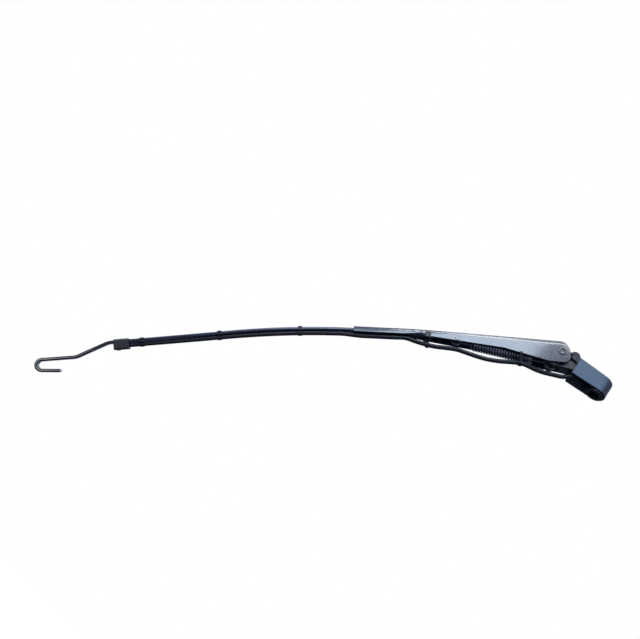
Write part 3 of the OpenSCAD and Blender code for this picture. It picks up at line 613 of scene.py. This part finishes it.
hose_path = []
t = bar_run - nozzle_len / 2 + hose_in_nozzle
while t >= clear_of_neck:
    hose_path.append(bar_axes(t) @ Vector((0, 0, -hose_under_bar)))
    t -= 13
for t in (0, -10, -22):
    dip = smooth((clear_of_neck - t) / neck_dip)
    drop = hose_under_bar + (hose_under_neck - hose_under_bar) * dip
    hose_path.append(bar_axes(t) @ Vector((0, 0, -drop)))
for x in (-216, -202, -188):
    web_top = web_height - (-x - bend_at) * tan(radians(neck_slope))
    hose_path.append(Vector((x, 0, web_top - bar_drop - hose_under_neck)))
hose_path += [Vector(p) for p in (
    (-176, 0, 0.6), (-164, 0, -2.2), (-152, -1, -4.6), (-140, -2, -5.4), (-127, -3, -6.6),
    (-117, -3.5, -9.2), (-107, -3.8, -12.2), (-98, -4, -14.6), (-88, -4, -16.4), (-75, -4, -17.2),
    (-62, -4, -16.9), (-50, -4, -16.9), (-45, -3.7, -17.9), (-40, -3.2, -19.3), (-30, -1.6, -22.6),
    (-20, -0.4, -24.6), (-10, 0, -26), (0, 0, -27.4))]

# The last stretch comes level to the elbow, so it is worked out along the head and turned back.
to_head, to_arm = Matrix.Rotation(-rest_angle, 3, "Y"), Matrix.Rotation(rest_angle, 3, "Y")
leaves = to_head @ hose_path[-1]
run = elbow_at.x - elbow_run - leaves.x
for share in (0.25, 0.5, 0.75, 1):
    rise = ((elbow_at.z - leaves.z) * smooth(share)
            + tan(leaving_slope) * run * share * (1 - share) ** 2)
    hose_path.append(to_arm @ Vector((leaves.x + run * share, 0, leaves.z + rise)))
hose_path.append(to_arm @ (elbow_at - Vector((0.3, 0, 0))))

hose_tree = WireTree("hose_on_a_route", {"Diameter": hose_d / 1000, "Step": 0.003})
route = hose_tree.add("GeometryNodeMeshToCurve")
bent_curve = hose_tree.add("GeometryNodeCurveSplineType")
bent_curve.spline_type = "CATMULL_ROM"
even = hose_tree.add("GeometryNodeResampleCurve")
even.mode = "LENGTH"
mark = hose_tree.add("GeometryNodeStoreNamedAttribute")
mark.inputs["Name"].default_value = "run"
hose_tree.join(hose_tree.given["Geometry"], route.inputs["Mesh"])
hose_tree.join(route.outputs["Curve"], bent_curve.inputs["Curve"])
hose_tree.join(bent_curve.outputs["Curve"], even.inputs["Curve"])
hose_tree.join(hose_tree.given["Step"], even.inputs["Length"])
hose_tree.join(even.outputs["Curve"], mark.inputs["Geometry"])
hose_tree.join(hose_tree.add("GeometryNodeSplineParameter").outputs["Length"], mark.inputs["Value"])
rubber = Finish("black_rubber_hose", (0.020, 0.021, 0.025), 0.5)
along_hose = rubber.nodes.new("ShaderNodeAttribute")
along_hose.attribute_name = "run"
rubber.dull(rubber.mottle(5, 3), 0.40, 0.56)
rubber.tint(rubber.mottle(9, 3), (0.016, 0.017, 0.020), (0.028, 0.029, 0.034))
rubber.relief((rubber.mottle(0.5, 2, (0.08, 1, 0.08)), 0.02),
              (rubber.mottle(24, 1, place=along_hose.outputs["Vector"]), 0.15))
hose_tree.sweep(mark.outputs["Geometry"], hose_tree.given["Diameter"], 28, rubber)
hose_mesh = hose_tree.grow("washer_hose_run", [arm_place(*p) for p in hose_path])
hose = add_piece("washer_hose_run", hose_mesh, None, "hose_rubber", rubber, "washer_hose")
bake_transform(hose)

# Clips and holder
# Black nylon clips hold the hose: three bands round the bar, one clip pushed up over the mouth of
# the channel, and a holder that grips the near flange beside the spring. Their grain is fine.
nylon = Finish("black_nylon", (0.018, 0.018, 0.021), 0.42)
nylon.dull(nylon.mottle(4, 3), 0.34, 0.5)
nylon.tint(nylon.mottle(8, 2), (0.014, 0.014, 0.017), (0.026, 0.026, 0.030))
nylon.relief((nylon.mottle(0.35, 2), 0.012), (nylon.mottle(6, 1), 0.05))
add_piece("bar_clips", soft_edges("hose_clips", 0.25), "arm", "clip_plastic", nylon, "hose_clips")
add_piece("mouth_clip", soft_edges("neck_clip", 0.25), "arm", "clip_plastic", nylon, "neck_clip")
add_piece("flange_holder", soft_edges("hose_holder", 0.2), "arm", "clip_plastic", nylon, "hose_holder")

# Nozzle block
# The nozzle block is a stiff rubber moulding pushed on the bar before the hook was bent. The hose
# ends in its back, and two plastic jets in its lower face spray the glass beside the blade.
moulded = Finish("dark_grey_moulding", (0.066, 0.065, 0.065), 0.6)
moulded.dull(moulded.mottle(3, 3), 0.5, 0.68)
moulded.tint(moulded.mottle(6, 3), (0.040, 0.038, 0.036), (0.062, 0.060, 0.056))
moulded.relief((moulded.mottle(0.6, 3), 0.03))
add_piece("nozzle_body", soft_edges("nozzle_block", 0.5), "arm", "nozzle_rubber", moulded, "nozzle_block")
add_piece("jet_inserts", soft_edges("nozzle_jets", 0.2), "arm", "jet_plastic", nylon, "nozzle_jets")

# Cover
# The cover is moulded in one piece with a satin blue-grey face. It hides the spindle nut, and its
# two lugs turn on a plain pin through the ears of the head, so that it flips up over the hinge.
cover_back, cover_len, cover_half, cover_top, top_fall = -35, 48.6, 12, 26.5, 3.4
near_edge, lower_share = 0.5, 0.6
satin = Finish("satin_cover_plastic", (0.11, 0.165, 0.235), 0.42)
satin.shader.inputs["Specular IOR Level"].default_value = 0.35
satin.dull(satin.mottle(5, 3), 0.38, 0.48)
satin.tint(satin.mottle(25, 2), (0.120, 0.175, 0.236), (0.133, 0.192, 0.258))

# Painted shade: the colour darkens round the rounded end, which turns away from the light, and is darker
# still on the lugs, which sit in shade at the hinge.
satin.change(satin.height_over((0.001, 0, 0), (1, 0, 0), 0, 7), (0.045, 0.042, 0.060))
satin.change(satin.height_over((-0.0345, 0, 0), (-1, 0, 0), 0, 1.5), (0.030, 0.034, 0.044))
satin.relief((satin.mottle(0.45, 2), 0.012), (satin.specks(2.6, 0.12), 0.03))


def cover_share(middle):
    """The upper edge is rounder than the rim and the inner edges."""
    from_middle = hypot(middle.x, middle.y) if middle.x > 0 else abs(middle.y)
    outside = from_middle > cover_half or middle.x < cover_back + 0.2
    top = cover_top - top_fall * (middle.x - cover_back) / cover_len
    return 1.0 if middle.z > top - near_edge and outside else lower_share


add_piece("flip_cover", soft_edges("head_cover", 0.9, cover_share), "cover", "cover_plastic",
          satin, "head_cover")
paint_node("cover_pin", casting)

# Elbow
# A nylon elbow under the neck of the head joins the hose to the supply hose from the vehicle.
# It is moulded in one piece, with a barb for the hose and a spigot that points down.
add_piece("elbow", soft_edges("hose_connector", 0.3), "head", "clip_plastic", nylon, "hose_connector")
